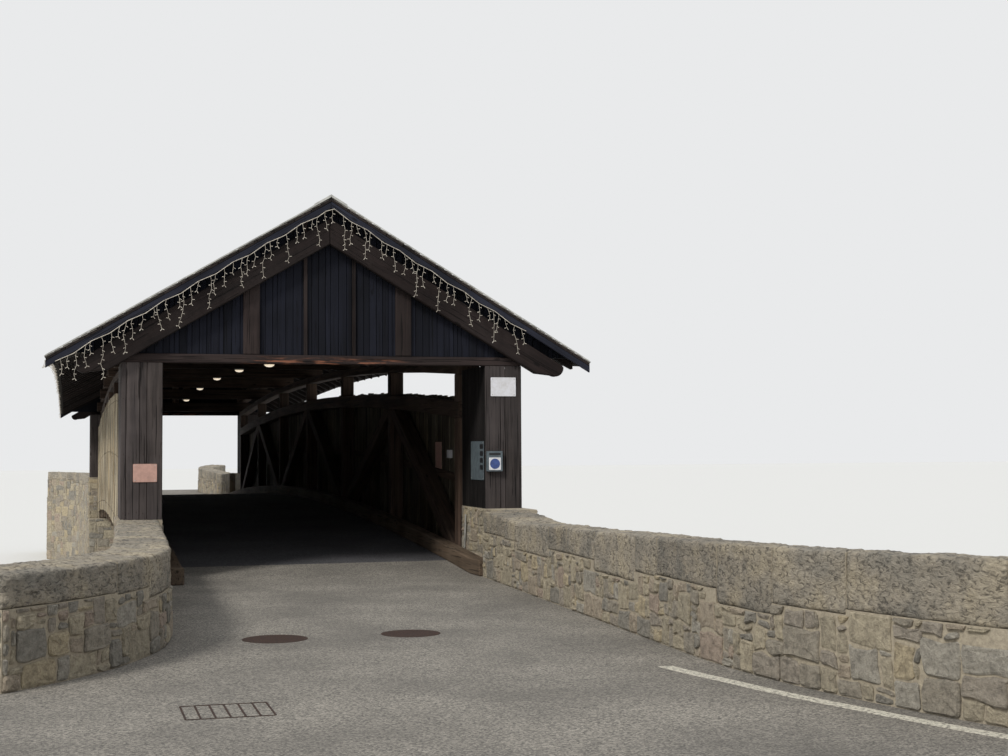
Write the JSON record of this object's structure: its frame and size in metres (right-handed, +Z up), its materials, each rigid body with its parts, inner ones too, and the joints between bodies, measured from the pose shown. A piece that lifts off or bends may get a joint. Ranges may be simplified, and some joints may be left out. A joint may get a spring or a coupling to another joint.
{
  "type": "covered timber road bridge, 1:2 scale model",
  "caption": "Covered timber road bridge with a cambered deck, boarded Warren trusses, a gabled shingle roof and curved stone wing walls, modelled at 1:2.",
  "frame": {"origin": "on the foot of the near abutment, under the middle of the near portal face", "axes": "+Y along the bridge from the near portal to the far one, +X to the right of someone going in, +Z up"},
  "size_m": [3.9339, 28.9334, 4.115],
  "materials": {
    "abutment_stone": "rough rubble masonry",
    "rubble_stone": "rough rubble with wide pale mortar",
    "coping_stone": "coarse split blocks",
    "asphalt": "worn asphalt",
    "weathered_boards": "weathered, unpainted",
    "dark_boards": "weathered dark",
    "old_timber": "old brown timber",
    "deck_timber": "sawn, weathered",
    "gable_timber": "weathered warm brown",
    "shingles": "grey weathered shingles",
    "ridge_sheet": "matt",
    "verge_timber": "grey weathered",
    "lamp_shade": "opal",
    "light_lead": "pale"
  },
  "bodies": {
    "root": {"near_abutment": "abutment_stone", "far_abutment": "abutment_stone", "approaches": "asphalt", "near_right_wall": "rubble_stone", "near_left_wall": "rubble_stone", "far_right_wall": "rubble_stone", "far_left_wall": "rubble_stone", "near_coping": "coping_stone", "far_coping": "coping_stone", "near_casings": "weathered_boards", "far_casings": "weathered_boards", "portal_posts": "old_timber", "carriageway": "asphalt", "deck_planks": "deck_timber", "stringers": "deck_timber", "floor_beams": "deck_timber", "curbs": "deck_timber", "right_lower_chord": "old_timber", "left_lower_chord": "old_timber", "right_upper_chord": "old_timber", "left_upper_chord": "old_timber", "right_posts": "old_timber", "left_posts": "old_timber", "right_diagonals": "old_timber", "left_diagonals": "old_timber", "boarding_rails": "old_timber", "right_boarding": "weathered_boards", "left_boarding": "weathered_boards", "wall_plates": "old_timber", "tie_beams": "old_timber", "pole_plates": "old_timber", "king_posts": "old_timber", "ridge_beam": "old_timber", "rafters": "old_timber", "right_roof_boards": "dark_boards", "left_roof_boards": "dark_boards", "right_shingles": "shingles", "left_shingles": "shingles", "ridge_cap": "ridge_sheet", "gable_frames": "gable_timber", "gable_boards": "dark_boards", "verge_boards": "verge_timber", "ceiling_lamps": "lamp_shade", "light_string": "light_lead"}
  },
  "joints": []
}
